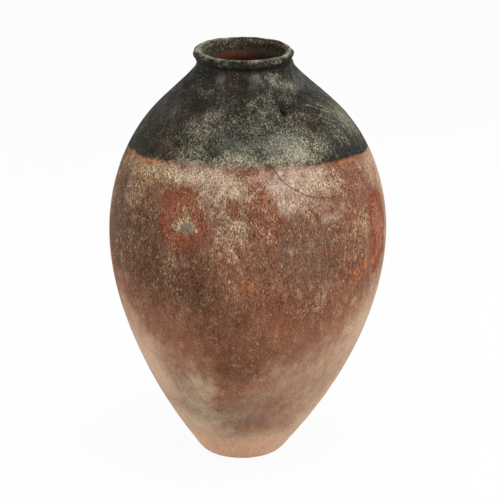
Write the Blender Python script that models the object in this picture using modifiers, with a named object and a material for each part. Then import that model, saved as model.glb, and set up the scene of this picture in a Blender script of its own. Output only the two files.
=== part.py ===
"""A hand-built jar with a black top, modelled as the courses of clay that were luted together to make it.

Units are metres and +Z is up. The origin is the middle of the foot's underside.
From the bottom up the jar is a base pad, wall courses as far as the edge of the blackened top,
shoulder courses above that edge, a neck collar and a rolled rim.
Each course rests on the sloping bed of the one below, with a film of luting slip between them.
"""

import math

import bpy
import numpy as np

MM = 0.001

# Outside of the wall, from the foot up. Each rise is counted from the station before it.
FOOT_FLAT_RADIUS = 28.7 * MM
FOOT_CORNER_RADIUS = 16.3 * MM
FOOT_LEAN = math.radians(38.4)
BELLY_RADIUS = 132.0 * MM
BELLY_HEIGHT = 223.4 * MM
SHOULDER_RADIUS = 88.2 * MM
SHOULDER_RISE = 118.1 * MM
SHOULDER_LEAN = math.radians(43.5)
THROAT_RADIUS = 45.1 * MM
NECK_RISE = 46.1 * MM

# How far the outline holds its direction as it leaves or nears each station, which sets its fullness.
FOOT_PULL = 104.8 * MM
BELLY_PULL_BELOW = 57.6 * MM
BELLY_PULL_ABOVE = 49.7 * MM
SHOULDER_PULL_BELOW = 36.6 * MM
SHOULDER_PULL_ABOVE = 25.2 * MM
THROAT_PULL = 7.8 * MM

# Thickness of the clay.
WALL_AT_FOOT = 11.0 * MM
WALL_AT_NECK = 7.0 * MM
FLOOR_THICKNESS = 14.0 * MM
BOWL_WALL_PULL = 24.0 * MM
BOWL_FLOOR_PULL = 24.0 * MM

# Rolled rim: an upright stem that turns out into a bead.
RIM_STEM = 3.7 * MM
RIM_OVERHANG = 2.3 * MM

# How the jar is built up in courses.
BASE_PAD_EDGE = 30.0 * MM
BLACK_EDGE_HEIGHT = 304.0 * MM
COLLAR_BELOW_THROAT = 20.0 * MM
WALL_COURSES = 8
SHOULDER_COURSES = 3
BED_FALL = math.radians(15.0)
LUTING_GAP = 0.3 * MM

# Fineness of the turned surfaces.
SIDES = 48
OUTLINE_SAMPLES = 240
COURSE_SPANS = 3
COLLAR_SPANS = 5
PAD_SPANS = 2
FOOT_CORNER_SPANS = 4
BOWL_SPANS = 5
BEAD_SPANS = 12
MERGE_DISTANCE = 0.01 * MM
SHARP_ANGLE = math.radians(35.0)

THROAT_HEIGHT = BELLY_HEIGHT + SHOULDER_RISE + NECK_RISE


def bezier(start, leaving, nearing, end, spans):
    """Points of a cubic curve from start to end, where leaving and nearing are its two handles."""
    along = np.linspace(0.0, 1.0, spans + 1)[:, None]
    back = 1.0 - along
    return (
        back**3 * start
        + 3 * back**2 * along * (start + leaving)
        + 3 * back * along**2 * (end - nearing)
        + along**3 * end
    )


def arc(centre, radius, first, last, spans):
    """Points of a circular arc between two angles, counted from +X."""
    angle = np.linspace(first, last, spans + 1)
    return np.column_stack([centre[0] + radius * np.cos(angle), centre[1] + radius * np.sin(angle)])


def foot_corner(spans):
    """The rounded edge of the foot, from the flat underside to where the wall leaves it."""
    centre = (FOOT_FLAT_RADIUS, FOOT_CORNER_RADIUS)
    return arc(centre, FOOT_CORNER_RADIUS, -math.pi / 2, -FOOT_LEAN, spans)


def outer_outline():
    """Radius and height along the outside of the wall, from the top of the foot's corner to the throat.

    Past the throat it runs straight up by the wall's thickness, which is as far as the rim's bed can reach.
    """
    up = np.array([0.0, 1.0])
    foot = foot_corner(FOOT_CORNER_SPANS)[-1]
    foot_way = np.array([math.sin(FOOT_LEAN), math.cos(FOOT_LEAN)])
    belly = np.array([BELLY_RADIUS, BELLY_HEIGHT])
    shoulder = np.array([SHOULDER_RADIUS, BELLY_HEIGHT + SHOULDER_RISE])
    shoulder_way = np.array([-math.sin(SHOULDER_LEAN), math.cos(SHOULDER_LEAN)])
    throat = np.array([THROAT_RADIUS, THROAT_HEIGHT])
    lower = bezier(foot, FOOT_PULL * foot_way, BELLY_PULL_BELOW * up, belly, OUTLINE_SAMPLES)
    upper = bezier(
        belly, BELLY_PULL_ABOVE * up, SHOULDER_PULL_BELOW * shoulder_way, shoulder, OUTLINE_SAMPLES
    )
    neck = bezier(shoulder, SHOULDER_PULL_ABOVE * shoulder_way, THROAT_PULL * up, throat, OUTLINE_SAMPLES)
    past_throat = throat + WALL_AT_NECK * up
    return np.vstack([lower, upper[1:], neck[1:], past_throat])


def distances_along(outline):
    """Length of the outline from its start to each of its points."""
    steps = np.linalg.norm(np.diff(outline, axis=0), axis=1)
    return np.concatenate([[0.0], np.cumsum(steps)])


def inner_outline(outline, distance):
    """The inside of the wall: the outside moved in along its normal by a thickness that tapers upwards."""
    tangent = np.gradient(outline, distance, axis=0)
    tangent /= np.linalg.norm(tangent, axis=1)[:, None]
    inward = np.column_stack([-tangent[:, 1], tangent[:, 0]])
    throat = np.interp(THROAT_HEIGHT, outline[:, 1], distance)
    thickness = np.interp(distance, [0.0, throat], [WALL_AT_FOOT, WALL_AT_NECK])
    return outline + thickness[:, None] * inward


OUTSIDE = outer_outline()
DISTANCE = distances_along(OUTSIDE)
INSIDE = inner_outline(OUTSIDE, DISTANCE)


def distance_at_height(height):
    """Distance along the outside of the wall at which it reaches a height."""
    return float(np.interp(height, OUTSIDE[:, 1], DISTANCE))


def outline_point(outline, distance):
    """The point of an outline at a distance along it."""
    return np.array([np.interp(distance, DISTANCE, outline[:, axis]) for axis in (0, 1)])


def bed_crossing(outline, bed, lift):
    """Distance at which an outline crosses the bed that starts at distance bed, raised by lift.

    A bed runs inwards from the outside of the wall and rises by BED_FALL, so that a course seats itself.
    """
    bed_normal = np.array([math.sin(BED_FALL), math.cos(BED_FALL)])
    above_bed = (outline - outline_point(OUTSIDE, bed)) @ bed_normal
    return float(np.interp(lift, above_bed, DISTANCE))


def stretch(outline, low, high, spans):
    """Points of an outline between two distances, from low to high."""
    at = np.linspace(low, high, spans + 1)
    return np.column_stack([np.interp(at, DISTANCE, outline[:, axis]) for axis in (0, 1)])


def course_section(low_bed, high_bed, spans):
    """Closed section of one course: down its outside and up its inside, between two beds."""
    sides = []
    for outline in (OUTSIDE, INSIDE):
        low = bed_crossing(outline, low_bed, LUTING_GAP)
        high = bed_crossing(outline, high_bed, 0.0)
        sides.append(stretch(outline, low, high, spans))
    outside, inside = sides
    return np.vstack([outside[::-1], inside])


def base_pad_section(bed):
    """Section of the base pad, from the middle of its bowl out to its bed and down round the foot."""
    outside = stretch(OUTSIDE, 0.0, bed, PAD_SPANS)
    inner_distance = bed_crossing(INSIDE, bed, 0.0)
    inner_edge, above = stretch(INSIDE, inner_distance, inner_distance + LUTING_GAP, 1)
    wall_way = (above - inner_edge) / np.linalg.norm(above - inner_edge)
    floor_way = np.array([1.0, 0.0])
    floor_middle = np.array([0.0, FLOOR_THICKNESS])
    bowl = bezier(
        floor_middle, BOWL_FLOOR_PULL * floor_way, BOWL_WALL_PULL * wall_way, inner_edge, BOWL_SPANS
    )
    foot = foot_corner(FOOT_CORNER_SPANS)
    foot_middle = np.zeros((1, 2))
    return np.vstack([bowl, outside[::-1], foot[-2::-1], foot_middle])


def rim_section(bed):
    """Closed section of the rim: from the inner lip over the bead to its crease, then down the stem."""
    bead_radius = (WALL_AT_NECK + RIM_OVERHANG) / 2
    bead_reach = THROAT_RADIUS + RIM_OVERHANG - bead_radius
    crease = -math.acos((bead_radius - RIM_OVERHANG) / bead_radius)
    bead_height = THROAT_HEIGHT + RIM_STEM - bead_radius * math.sin(crease)
    bead = arc((bead_reach, bead_height), bead_radius, math.pi, crease, BEAD_SPANS)
    stem_foot = outline_point(OUTSIDE, bed_crossing(OUTSIDE, bed, LUTING_GAP))
    lip_foot = outline_point(INSIDE, bed_crossing(INSIDE, bed, LUTING_GAP))
    return np.vstack([bead, stem_foot, lip_foot])


def clay(name, colour, roughness):
    """A fired clay, with its linear colour."""
    material = bpy.data.materials.new(name)
    material.use_nodes = True
    shader = material.node_tree.nodes["Principled BSDF"]
    shader.inputs["Base Color"].default_value = (*colour, 1.0)
    shader.inputs["Roughness"].default_value = roughness
    shader.inputs["Metallic"].default_value = 0.0
    material.diffuse_color = (*colour, 1.0)
    return material


def turned(name, section, closed, material, jar, collection):
    """A piece turned about the Z axis from its section, with its origin on the axis at its lowest point."""
    foot = section[:, 1].min()
    points = [(radius, 0.0, height - foot) for radius, height in section]
    edges = [(i, i + 1) for i in range(len(points) - 1)]
    if closed:
        edges.append((len(points) - 1, 0))
    profile = bpy.data.meshes.new(name + "_profile")
    profile.from_pydata(points, edges, [])

    piece = bpy.data.objects.new(name, profile)
    collection.objects.link(piece)
    screw = piece.modifiers.new("turn", "SCREW")
    screw.axis = "Z"
    screw.angle = 2 * math.pi
    screw.steps = SIDES
    screw.render_steps = SIDES
    screw.use_merge_vertices = True
    screw.merge_threshold = MERGE_DISTANCE

    graph = bpy.context.evaluated_depsgraph_get()
    solid = bpy.data.meshes.new_from_object(piece.evaluated_get(graph))
    solid.name = name
    solid.shade_smooth()
    solid.set_sharp_from_angle(angle=SHARP_ANGLE)
    solid.materials.append(material)
    piece.modifiers.clear()
    piece.data = solid
    bpy.data.meshes.remove(profile)

    piece.location = (0.0, 0.0, foot)
    piece.parent = jar
    return piece


def build():
    """Stacks the jar from its base pad to its rim."""
    for old in list(bpy.data.objects):
        bpy.data.objects.remove(old)
    collection = bpy.data.collections.new("black_topped_jar")
    bpy.context.scene.collection.children.link(collection)
    jar = bpy.data.objects.new("jar", None)
    collection.objects.link(jar)
    red_clay = clay("red_burnished_clay", colour=(0.231, 0.117, 0.072), roughness=0.55)
    black_clay = clay("blackened_clay", colour=(0.089, 0.080, 0.061), roughness=0.5)

    pad_bed = distance_at_height(BASE_PAD_EDGE)
    black_bed = distance_at_height(BLACK_EDGE_HEIGHT)
    throat_bed = distance_at_height(THROAT_HEIGHT)
    collar_bed = distance_at_height(THROAT_HEIGHT - COLLAR_BELOW_THROAT)
    wall_beds = np.linspace(pad_bed, black_bed, WALL_COURSES + 1)
    shoulder_beds = np.linspace(black_bed, collar_bed, SHOULDER_COURSES + 1)

    turned("base_pad", base_pad_section(pad_bed), False, red_clay, jar, collection)
    for number, beds in enumerate(zip(wall_beds, wall_beds[1:]), start=1):
        section = course_section(*beds, COURSE_SPANS)
        turned(f"wall_course_{number:02d}", section, True, red_clay, jar, collection)
    for number, beds in enumerate(zip(shoulder_beds, shoulder_beds[1:]), start=1):
        section = course_section(*beds, COURSE_SPANS)
        turned(f"shoulder_course_{number:02d}", section, True, black_clay, jar, collection)
    collar = course_section(collar_bed, throat_bed, COLLAR_SPANS)
    turned("neck_collar", collar, True, black_clay, jar, collection)
    turned("rim_roll", rim_section(throat_bed), True, black_clay, jar, collection)


build()
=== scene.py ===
"""Dresses the black-topped jar: burnished red earthenware with a blackened, dusty top.

The file is laid out as an add-on and is run as a script. The courses of the CAD model are its frame.
Each course is replaced by a finer one of the same section, and the fired skin runs over their luted joints.
A place on the skin is an azimuth, in degrees to the right of the front, and a height in millimetres.
"""

import math
from collections import namedtuple

import bpy
import numpy as np
from bpy.props import FloatProperty, FloatVectorProperty, PointerProperty
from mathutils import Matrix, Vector


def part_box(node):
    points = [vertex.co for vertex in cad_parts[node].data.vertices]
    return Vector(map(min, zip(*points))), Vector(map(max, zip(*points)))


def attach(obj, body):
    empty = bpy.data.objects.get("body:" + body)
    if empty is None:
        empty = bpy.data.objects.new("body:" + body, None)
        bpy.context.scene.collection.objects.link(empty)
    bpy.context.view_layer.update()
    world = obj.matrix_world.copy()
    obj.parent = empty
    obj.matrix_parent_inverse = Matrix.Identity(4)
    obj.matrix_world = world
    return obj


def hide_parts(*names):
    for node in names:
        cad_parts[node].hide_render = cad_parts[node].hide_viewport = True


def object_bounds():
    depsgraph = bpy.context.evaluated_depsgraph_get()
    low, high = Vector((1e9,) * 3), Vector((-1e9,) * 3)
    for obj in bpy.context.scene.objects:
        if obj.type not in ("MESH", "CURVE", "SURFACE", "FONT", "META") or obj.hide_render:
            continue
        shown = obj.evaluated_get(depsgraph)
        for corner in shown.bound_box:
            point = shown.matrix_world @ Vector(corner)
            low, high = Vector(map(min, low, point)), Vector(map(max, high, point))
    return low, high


bl_info = {
    "name": "Black-topped jar",
    "version": (1, 0, 0),
    "blender": (4, 5, 0),
    "location": "View3D > Sidebar > Jar",
    "description": "Builds the skin of a hand-built, black-topped pottery jar over its CAD courses",
    "category": "Add Mesh",
}

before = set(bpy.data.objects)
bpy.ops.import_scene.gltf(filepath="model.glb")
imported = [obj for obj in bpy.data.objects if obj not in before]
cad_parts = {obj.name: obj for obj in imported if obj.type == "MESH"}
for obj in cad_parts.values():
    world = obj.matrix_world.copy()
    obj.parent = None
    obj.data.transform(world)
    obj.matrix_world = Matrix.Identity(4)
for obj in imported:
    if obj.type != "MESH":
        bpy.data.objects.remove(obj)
CAD_BOX = [list(corner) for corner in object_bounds()]

MM = 0.001
COURSES = sorted(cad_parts, key=lambda node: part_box(node)[0].z)
BASE_PAD, *RING_COURSES, NECK_COLLAR, RIM_ROLL = COURSES
JAR_HEIGHT = CAD_BOX[1][2]

# Fineness of the grids and of the outlines that they follow.
COLUMNS = 720
SKIN_STEP = 1.1 * MM
INSIDE_STEP = 3.0 * MM
UNDERSIDE_ROWS = 14
TOUCHING = 0.001 * MM
OUTLINE_SAMPLES = 4000
BEAD_SAMPLES = 400
RIM_STEP = 0.5 * MM
CREASE_ROUNDING = 1.2 * MM
BEAD_FLATNESS = 0.84
SHARP_ANGLE = math.radians(40.0)

AZIMUTH = np.linspace(-math.pi, math.pi, COLUMNS, endpoint=False)

SKIN, INSIDE, BED = range(3)


def linear(hex_colour):
    """Linear red, green and blue of an sRGB hex colour."""
    srgb = np.array([int(hex_colour[i : i + 2], 16) for i in (1, 3, 5)]) / 255
    return tuple(np.where(srgb <= 0.04045, srgb / 12.92, ((srgb + 0.055) / 1.055) ** 2.4))


def size_property(name, description, default):
    """A length in metres that the sidebar shows in millimetres."""
    return FloatProperty(name=name, description=description, default=default, unit="LENGTH", precision=5)


def colour_property(name, description, hex_colour):
    """A colour of the jar or the stage, given as sRGB hex."""
    default = linear(hex_colour)
    return FloatVectorProperty(name=name, description=description, subtype="COLOR", default=default)


class JarForm(bpy.types.PropertyGroup):
    """Sizes of what the hand, the fire and the years did to the turned shape."""

    belly_shift: size_property("Belly shift", "How far the belly stands to the right of the axis", 3.0 * MM)
    foot_shift: size_property("Foot shift", "How far the foot stands to the left of the belly", 5.9 * MM)
    foot_reach: size_property("Foot reach", "Height over which the foot eases back to the belly", 85.0 * MM)
    neck_shift: size_property("Neck shift", "How far the neck stands to the left of the belly", 3.6 * MM)
    neck_reach: size_property("Neck reach", "Depth over which the neck eases back to the belly", 43.0 * MM)
    hand_wobble: size_property("Hand wobble", "How far the hand-built wall strays from round", 0.6 * MM)
    rim_wobble: size_property("Rim wobble", "How far the rolled rim rises and falls", 0.5 * MM)
    spall_depth: size_property("Spall depth", "Depth of the pits where the skin popped off", 0.8 * MM)
    chip_depth: size_property("Chip depth", "Depth of the chip in the shoulder", 2.2 * MM)
    crack_depth: size_property("Crack depth", "Depth of the hairline crack below the black edge", 0.25 * MM)


class JarColours(bpy.types.PropertyGroup):
    """Colours of the fired skin, of what lies on it, of painted shade and sheen, and of the stage."""

    slip: colour_property("Red slip", "Burnished red-brown slip of the body", "#7d4f3a")
    slip_deep: colour_property("Deep slip", "Slip where it is thickest and best burnished", "#6c402b")
    slip_light: colour_property("Worn slip", "Slip rubbed thin between the burnishing strokes", "#9a6d53")
    slip_maroon: colour_property("Maroon slip", "Slip left dark red in the burnishing strokes", "#66382a")
    stain: colour_property("Brown stain", "Brown of the handled and smoked belly", "#4c2f1f")
    mauve: colour_property("Mauve slip", "Slip that the fire turned purple-brown", "#7d5f51")
    ochre: colour_property("Bare ochre", "Fresh red where the skin is scrubbed off", "#8a4834")
    scorch: colour_property("Scorched ring", "Deep red at the edge of a scrubbed patch", "#722e16")
    ember: colour_property("Ember flecks", "Orange flecks and the line under the black edge", "#b26e3c")
    # Also painted light: the pale strips of rim light along both limbs.
    pale: colour_property("Pale clay", "Worn pink-beige clay of the lower body", "#bea184")
    foot: colour_property("Foot clay", "Tan clay of the rubbed foot", "#cfa487")
    smudge: colour_property("Grey smudge", "Grey-green smoke marks above the foot", "#b2a890")
    dust: colour_property("Silt dust", "Khaki silt that is left in the skin", "#cab68c")
    web: colour_property("Root web", "Pale threads that roots and salts left on the belly", "#bda68d")
    haze: colour_property("Pink haze", "Pale pink-grey bloom below the black edge", "#d0b8a6")
    spalled: colour_property("Spalled clay", "Grey clay in the pits where the skin popped off", "#7d6e5c")
    soot: colour_property("Soot black", "Carbon black of the top", "#15140f")
    soot_grey: colour_property("Soot grey", "Thinner carbon of the top", "#2b2720")
    soot_brown: colour_property("Soot brown", "Brown where the carbon is thin", "#3c2920")
    # Painted sheen: the lamps' soft reflection on the burnished black, painted slate grey.
    sheen_grey: colour_property("Soot slate", "Slate-grey bloom on the burnished black", "#6f716a")
    soot_dust: colour_property("Dust on black", "Olive silt on the blackened skin", "#a8a189")
    # Painted shade: near black for the crease under the rim's bead and for the hollow of the shoulder chip.
    groove: colour_property("Groove", "Soot that fills the groove under the rim", "#0e0b08")
    mouth: colour_property("Mouth", "Smoked, dusty clay inside the neck", "#4c4132")
    inside: colour_property("Inside clay", "Wiped red-brown clay inside the jar", "#93492e")
    core: colour_property("Core", "Grey-brown core of the wall", "#6b5a4c")
    floor: colour_property("Floor", "Plain pale floor", "#f2f2f2")


def section_points(node):
    """Radius and height of the points where a CAD node is cut by the half-plane through +X."""
    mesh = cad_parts[node].data
    place = np.empty(3 * len(mesh.vertices), np.float32)
    mesh.vertices.foreach_get("co", place)
    x, y, z = place.reshape(-1, 3).T.astype(float)
    in_plane = (np.abs(y) < TOUCHING) & (x > -TOUCHING)
    return np.unique(np.column_stack([x, z])[in_plane].round(6), axis=0)


def by_height(points):
    """The points, from the lowest to the highest."""
    return points[np.argsort(points[:, 1])]


def ring_sides(node):
    """Outer and inner points of a course's section, each from low to high.

    A bed rises inwards, so the lowest point is the lower outer corner and the highest the upper inner one.
    The points to the right of the line between those two are on the outside.
    """
    points = by_height(section_points(node))
    lowest, highest = points[0], points[-1]
    along, offset = highest - lowest, points - lowest
    right_of_line = along[1] * offset[:, 0] - along[0] * offset[:, 1]
    right_of_line[0], right_of_line[-1] = 1.0, -1.0
    return points[right_of_line > 0], points[right_of_line < 0]


def pad_sides(node):
    """Outer points of the base pad from the foot's flat up, and inner points from the bowl's middle up."""
    points = section_points(node)
    on_axis = points[points[:, 0] < TOUCHING]
    floor_height = on_axis[:, 1].max()
    bowl_radius = points[np.argmax(points[:, 1]), 0]
    inside = (points[:, 1] >= floor_height - TOUCHING) & (points[:, 0] <= bowl_radius)
    outside = ~inside & (points[:, 0] > TOUCHING)
    return by_height(points[outside]), by_height(points[inside])


def distances_along(points):
    """Length of a polyline from its start to each of its points."""
    steps = np.linalg.norm(np.diff(points, axis=0), axis=1)
    return np.concatenate([[0.0], np.cumsum(steps)])


def spline(knots, values, at):
    """Natural cubic spline: cubics whose slope and bend agree at every knot, with ends that don't bend."""
    width = np.diff(knots)
    rise = np.diff(values, axis=0) / width[:, None]
    count = len(knots)
    system = np.eye(count)
    inner = np.arange(1, count - 1)
    system[inner, inner - 1] = width[:-1]
    system[inner, inner] = 2 * (width[:-1] + width[1:])
    system[inner, inner + 1] = width[1:]
    wanted = np.zeros_like(values)
    wanted[1:-1] = 6 * np.diff(rise, axis=0)
    bend = np.linalg.solve(system, wanted)
    piece = np.clip(np.searchsorted(knots, at) - 1, 0, count - 2)
    left = (at - knots[piece])[:, None]
    right = (knots[piece + 1] - at)[:, None]
    span = width[piece][:, None]
    curve = (bend[piece] * right**3 + bend[piece + 1] * left**3) / (6 * span)
    start = (values[piece] / span - bend[piece] * span / 6) * right
    end = (values[piece + 1] / span - bend[piece + 1] * span / 6) * left
    return curve + start + end


class Outline:
    """A smooth curve in radius and height, read by the distance along it."""

    def __init__(self, points):
        self.distance = distances_along(points)
        self.points = points
        tangent = np.gradient(points, self.distance, axis=0)
        tangent /= np.linalg.norm(tangent, axis=1)[:, None]
        self.normals = np.column_stack([tangent[:, 1], -tangent[:, 0]])

    def read(self, values, at):
        """Values of the outline's samples at the distances at."""
        return np.column_stack([np.interp(at, self.distance, values[:, axis]) for axis in (0, 1)])

    def distance_at(self, height):
        """Distance at which an outline that climbs all the way reaches a height."""
        return np.interp(height, self.points[:, 1], self.distance)

    def rows(self, low, high, step):
        """Points and normals from one distance to another, about a step apart."""
        count = max(2, int(round(abs(high - low) / step)) + 1)
        at = np.linspace(low, high, count)
        return self.read(self.points, at), self.read(self.normals, at)


def smooth_outline(points):
    """The outline through a course's CAD points, as a natural spline over the distance between them."""
    knots = distances_along(points)
    fine = np.linspace(0.0, knots[-1], OUTLINE_SAMPLES)
    return Outline(spline(knots, points, fine))


def wall_outlines():
    """Outside from the foot's flat to the throat, and inside from the bowl's middle to the throat.

    Also the heights of the joints on either side, halfway across each film of luting slip.
    """
    sides = [pad_sides(BASE_PAD)] + [ring_sides(node) for node in (*RING_COURSES, NECK_COLLAR)]
    rim = by_height(section_points(RIM_ROLL))
    rim_feet = (rim[0], rim[1])
    outlines, joints = [], []
    for side, rim_foot in enumerate(rim_feet):
        stretches = [course[side] for course in sides]
        tops = [stretch[-1, 1] for stretch in stretches]
        bottoms = [stretch[0, 1] for stretch in stretches[1:]] + [rim_foot[1]]
        knots = np.vstack([stretch[:-1] for stretch in stretches] + [rim_foot])
        outlines.append(smooth_outline(knots))
        joints.append((np.array(tops) + np.array(bottoms)) / 2)
    return outlines, joints


(OUTSIDE, WITHIN), (OUTER_JOINTS, INNER_JOINTS) = wall_outlines()


def rim_outline():
    """The rim from its outer bed, up the stem, round the bead and down its inner lip.

    The bead is an ellipse, a little flattened by the hand, from the rim's outer reach to its inner lip.
    The crease under it is rounded by a running mean along the curve.
    """
    points = section_points(RIM_ROLL)
    reach, lip = points[:, 0].max(), points[:, 0].min()
    bead = (reach - lip) / 2
    half_height = BEAD_FLATNESS * bead
    middle = np.array([(reach + lip) / 2, points[:, 1].max() - half_height])
    stem = OUTSIDE.read(OUTSIDE.points, [OUTSIDE.distance_at(OUTER_JOINTS[-1])])[0]
    crease = -math.acos(min(1.0, (stem[0] - middle[0]) / bead))
    turn = np.linspace(crease, math.pi, BEAD_SAMPLES)
    arc = middle + np.column_stack([bead * np.cos(turn), half_height * np.sin(turn)])
    lip_foot = np.array([lip, INNER_JOINTS[-1]])
    corners = np.vstack([stem, arc, lip_foot])
    along = distances_along(corners)
    even = np.linspace(0.0, along[-1], OUTLINE_SAMPLES)
    points = np.column_stack([np.interp(even, along, corners[:, axis]) for axis in (0, 1)])
    window = int(CREASE_ROUNDING / even[1])
    padded = np.pad(points, ((window, window), (0, 0)), mode="reflect", reflect_type="odd")
    kernel = np.ones(2 * window + 1) / (2 * window + 1)
    rounded = [np.convolve(padded[:, axis], kernel, mode="valid") for axis in (0, 1)]
    return Outline(np.column_stack(rounded))


# A ripple: how much it counts, in the unit of what it moves, its length in millimetres and its seed.
Wave = namedtuple("Wave", "share length_mm seed")
RIPPLE_WAVES = 14
RIPPLE_LENGTHS = (0.7, 1.5)
RIPPLE_SWING = 0.6

STRAY_AROUND_MM = (Wave(5.0, 26, 11), Wave(2.0, 9, 12))
STRAY_UP_MM = (Wave(5.0, 26, 13), Wave(2.0, 9, 14))
BLACK_EDGE_STRAY_MM = (Wave(0.9, 30, 21),)
HAND_WAVES = (Wave(1.0, 130, 31),)
STROKE_WAVES_MM = (Wave(0.05, 7, 32),)
FOOT_STRAY_MM = (Wave(5.0, 30, 41),)
RIM_LUMPS = (Wave(0.6, 34, 51), Wave(0.4, 11, 52))
DRIFT_WAVES = (Wave(0.55, 42, 61), Wave(0.45, 13, 62))
BEAD_PATCHES = (Wave(0.25, 16, 71),)


def ripple(place, wavelength, seed):
    """Smooth noise from about -1 to 1: the mean of waves of like length that run in seeded directions."""
    random = np.random.default_rng(seed)
    direction = random.normal(size=(RIPPLE_WAVES, 3))
    direction /= np.linalg.norm(direction, axis=1)[:, None]
    rate = 2 * math.pi / (wavelength * random.uniform(*RIPPLE_LENGTHS, RIPPLE_WAVES))
    phase = random.uniform(0.0, 2 * math.pi, RIPPLE_WAVES)
    total = np.zeros(place.shape[:-1])
    for wave in range(RIPPLE_WAVES):
        total += np.sin(place @ direction[wave] * rate[wave] + phase[wave])
    return total * math.sqrt(2.0 / RIPPLE_WAVES) * RIPPLE_SWING


def ripples(place, waves):
    """Sum of ripples, each times its share."""
    return sum(wave.share * ripple(place, wave.length_mm * MM, wave.seed) for wave in waves)


def smoothstep(low, high, value):
    """0 below low, 1 above high and an S-curve between them."""
    share = np.clip((value - low) / (high - low), 0.0, 1.0)
    return share * share * (3 - 2 * share)


def bell(value):
    """1 at zero, falling off on both sides as a bell curve."""
    return np.exp(-(value**2))


def turn_from(degrees, azimuth):
    """Turn from an azimuth in degrees to others in radians, the short way round."""
    return np.remainder(azimuth - math.radians(degrees) + math.pi, 2 * math.pi) - math.pi


Blot = namedtuple("Blot", "azimuth height half_width half_height strength")


def spots(*rows):
    """Blots, each given by its azimuth and height, its half width and half height in mm and its strength."""
    return tuple(Blot(*row) for row in rows)


# Soft marks of each finish, and of painted sheen and light. Those more than 90 degrees round are on the
# back, placed by guess.
KHAKI_BAND = spots(
    (-64, 301, 40, 11, 0.45), (-44, 304, 26, 9, 0.65), (-24, 307, 22, 8, 0.35),
    (-6, 305, 22, 9, 0.4), (-82, 268, 18, 45, 0.25), (-58, 284, 22, 20, 0.15),
    (44, 293, 18, 12, 0.2), (40, 301, 16, 11, 0.2), (30, 305, 14, 8, 0.2),
    (66, 302, 10, 8, 0.6),
)
BELLY_DUST = spots(
    (-2, 262, 18, 18, 0.3), (0, 232, 26, 20, 0.12), (-8, 290, 18, 12, 0.2),
    (-33, 228, 14, 18, 0.2), (-56, 240, 22, 16, 0.1), (50, 256, 20, 20, 0.25),
    (32, 188, 14, 12, 0.5), (54, 148, 9, 7, 0.75), (-29, 84, 22, 24, 0.1),
    (-25, 57, 12, 9, 0.12), (5, 95, 20, 18, 0.12), (2, 150, 5, 14, 0.25),
    (118, 280, 50, 22, 0.6), (-130, 255, 60, 30, 0.5), (165, 220, 55, 45, 0.5),
    (-160, 120, 45, 40, 0.4), (110, 120, 40, 45, 0.4),
)
SHOULDER_DUST = spots(
    (-30, 345, 19, 14, 0.6), (-30, 326, 20, 10, 0.5), (-28, 315, 22, 5, 0.9),
    (-9, 318, 14, 5, 0.6), (3, 350, 22, 12, 0.45), (11, 364, 18, 10, 0.6),
    (34, 354, 9, 7, 0.35), (-4, 325, 22, 9, 0.3), (25, 333, 19, 13, 0.45),
    (34, 325, 19, 9, 0.9), (18, 317, 24, 7, 1.2), (2, 317, 22, 7, 0.3),
    (58, 345, 32, 14, 0.1), (60, 327, 16, 10, 0.25), (82, 330, 14, 14, 0.35),
    (36, 381, 8, 7, 0.5), (44, 371, 9, 8, 0.6), (-42, 372, 14, 8, 0.4),
    (0, 334, 80, 30, 0.15), (60, 345, 40, 26, 0.12), (112, 340, 50, 20, 0.6),
    (160, 330, 40, 22, 0.7), (-145, 345, 50, 18, 0.6), (-112, 322, 30, 12, 0.5),
)
STAINS = spots(
    (-58, 246, 52, 34, 0.9), (-42, 212, 46, 34, 0.8), (-22, 212, 20, 22, 0.6),
    (-8, 168, 42, 30, 0.5), (-12, 116, 22, 24, 0.4), (4, 118, 20, 18, 0.35),
    (33, 235, 40, 34, 0.62), (-72, 285, 26, 30, 0.7), (-66, 228, 28, 22, 0.9),
    (10, 238, 24, 24, 0.4), (36, 214, 18, 14, 0.3), (-88, 294, 12, 14, 0.7),
    (150, 240, 60, 40, 0.7), (-150, 190, 50, 45, 0.6),
)
MAUVES = spots(
    (22, 252, 34, 24, 0.7), (30, 208, 40, 28, 0.6), (-3, 70, 24, 18, 1.0),
    (12, 86, 20, 14, 0.6), (18, 53, 20, 12, 0.8), (-14, 276, 10, 14, 0.5),
    (-44, 285, 14, 12, 0.4), (100, 200, 50, 40, 0.6), (-115, 230, 50, 40, 0.5),
    (-170, 80, 35, 25, 0.7),
)
OCHRES = spots(
    (6, 288, 12, 17, 0.85), (10, 262, 13, 26, 0.8), (-18, 280, 12, 16, 0.6),
    (5, 305, 13, 9, 1.0), (14, 168, 22, 22, 0.55), (-18, 160, 16, 12, 0.45),
    (14, 205, 18, 20, 0.45), (44, 202, 18, 14, 0.6), (40, 154, 14, 9, 0.7),
    (48, 292, 26, 14, 0.5), (70, 306, 12, 7, 0.7), (0, 246, 3, 4, 1.0),
    (-28, 220, 10, 14, 0.45), (34, 124, 10, 4, 0.5), (135, 265, 30, 18, 0.6),
    (-120, 180, 26, 30, 0.6), (175, 160, 40, 24, 0.5),
)
EMBERS = spots(
    (-22, 229, 3.6, 3.0, 1.0), (1, 209, 5.0, 5.0, 0.9), (7, 292, 4.0, 5.0, 0.9),
    (34, 233, 3.0, 5.0, 0.9), (41, 237, 3.0, 3.0, 0.8), (35, 249, 4.0, 3.0, 0.9),
    (45, 224, 6.0, 6.0, 0.8), (38, 213, 9.0, 5.0, 0.8), (51, 206, 8.0, 8.0, 0.9),
    (57, 211, 5.0, 7.0, 0.9), (63, 211, 5.0, 6.0, 0.9), (35, 201, 4.0, 4.0, 0.8),
    (28, 311, 14.0, 3.5, 0.55), (34, 146, 4.0, 3.0, 0.8), (-42, 153, 5.0, 3.0, 0.7),
    (60, 282, 3.0, 3.0, 0.9), (67, 218, 8.0, 7.0, 0.7),
)
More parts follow.
